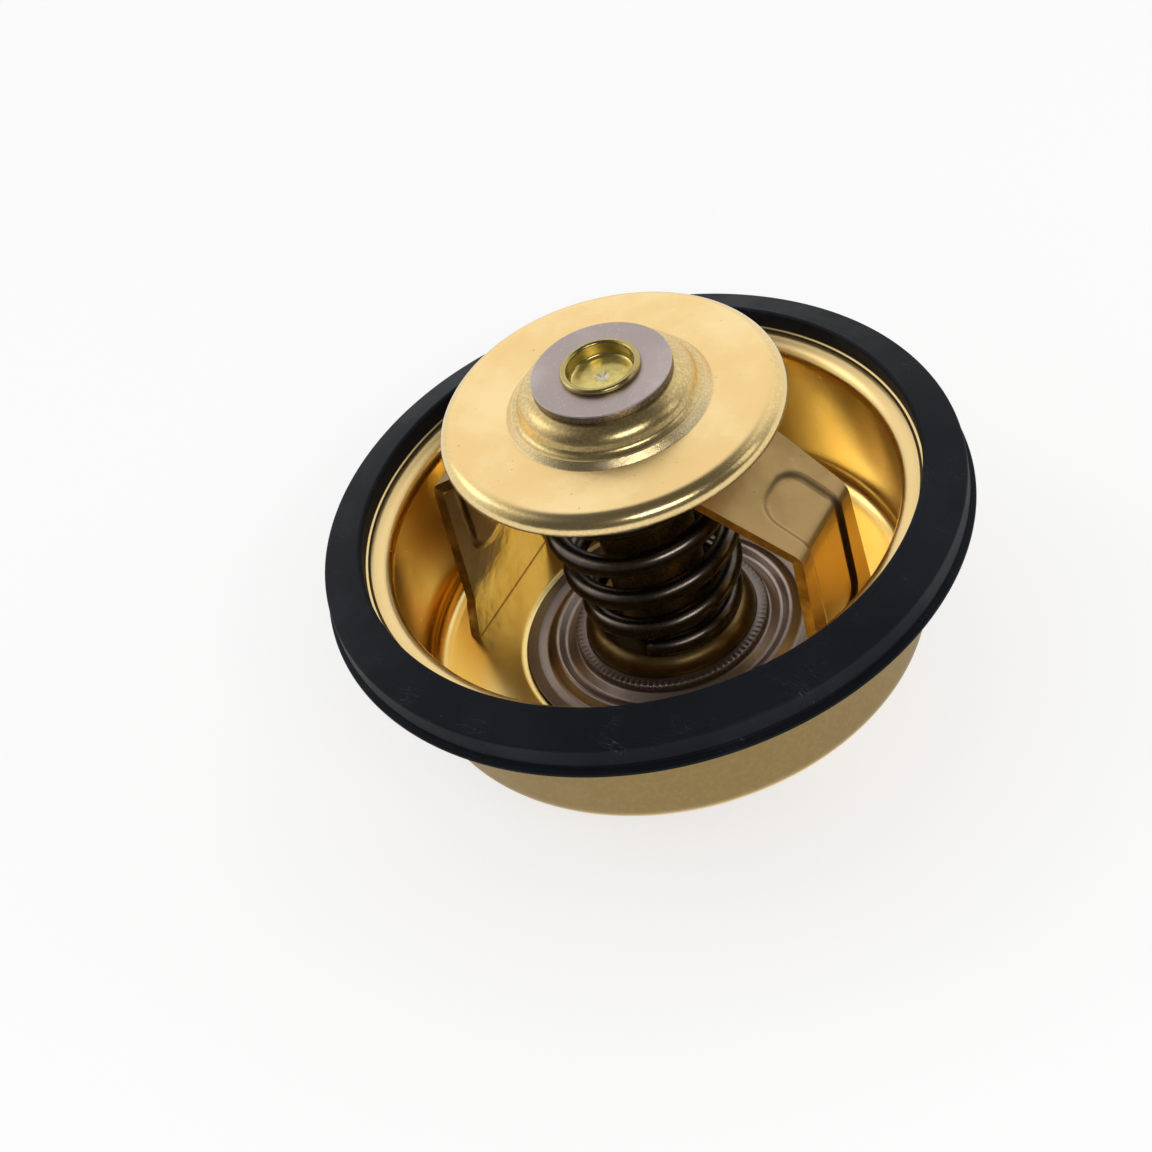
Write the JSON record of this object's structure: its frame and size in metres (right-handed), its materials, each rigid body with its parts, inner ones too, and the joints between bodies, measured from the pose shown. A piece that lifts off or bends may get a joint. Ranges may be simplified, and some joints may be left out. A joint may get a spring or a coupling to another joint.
{
  "type": "engine thermostat",
  "caption": "Cup-type engine coolant thermostat: a pressed cup with a rubber rim ring, an inner bridge and spring, a wax element, a corrugated valve plate and a bypass disc.",
  "frame": {"origin": "on the valve axis, at the upper face of the cup's rim flange, inside the rubber ring's height", "axes": "+Z along the valve axis, towards the bypass disc and the way the element moves when hot; +X along one arm of the spring bridge"},
  "size_m": [0.0832, 0.0832, 0.0583],
  "materials": {
    "gold_chromated_steel": "yellow-passivated pressing, satin to bright",
    "disc_gold": "pale gold satin pressing",
    "black_rubber": "moulded black rubber, fine concentric lines",
    "element_brass": "turned brass",
    "dark_brass": "dark lacquered brass, glossy",
    "plate_steel": "grey pressed steel, satin",
    "washer_steel": "fine blasted steel",
    "spring_steel": "dark polished spring wire",
    "pin_steel": "ground steel pin",
    "wax": "copper-filled wax",
    "boot_rubber": "soft rubber",
    "backup_plastic": "white slippery plastic"
  },
  "bodies": {
    "housing": {"housing_cup": "gold_chromated_steel", "rim_seal": "black_rubber", "spring_bridge": "gold_chromated_steel", "pin_yoke": "gold_chromated_steel", "piston_pin": "pin_steel", "main_spring": "spring_steel"},
    "element": {"element_case": "element_brass", "element_guide": "element_brass", "wax_charge": "wax", "piston_boot": "boot_rubber", "backup_ring": "backup_plastic", "spring_seat": "dark_brass", "main_valve_plate": "plate_steel", "plate_lock_ring": "plate_steel", "retaining_washer": "washer_steel", "bypass_spring": "spring_steel"},
    "bypass": {"bypass_disc": "disc_gold"}
  },
  "joints": [
    {"name": "valve_stroke", "type": "slide", "parent": "housing", "child": "element", "axis": [0, 0, 1], "range_m": [0, 0.008], "stiffness_N_per_m": 4000, "springref_m": -0.01, "deforming": ["main_spring"]},
    {"name": "bypass_retract", "type": "slide", "parent": "element", "child": "bypass", "axis": [0, 0, 1], "range_m": [-0.003, 0], "stiffness_N_per_m": 1500, "springref_m": 0.006, "deforming": ["bypass_spring"]}
  ]
}
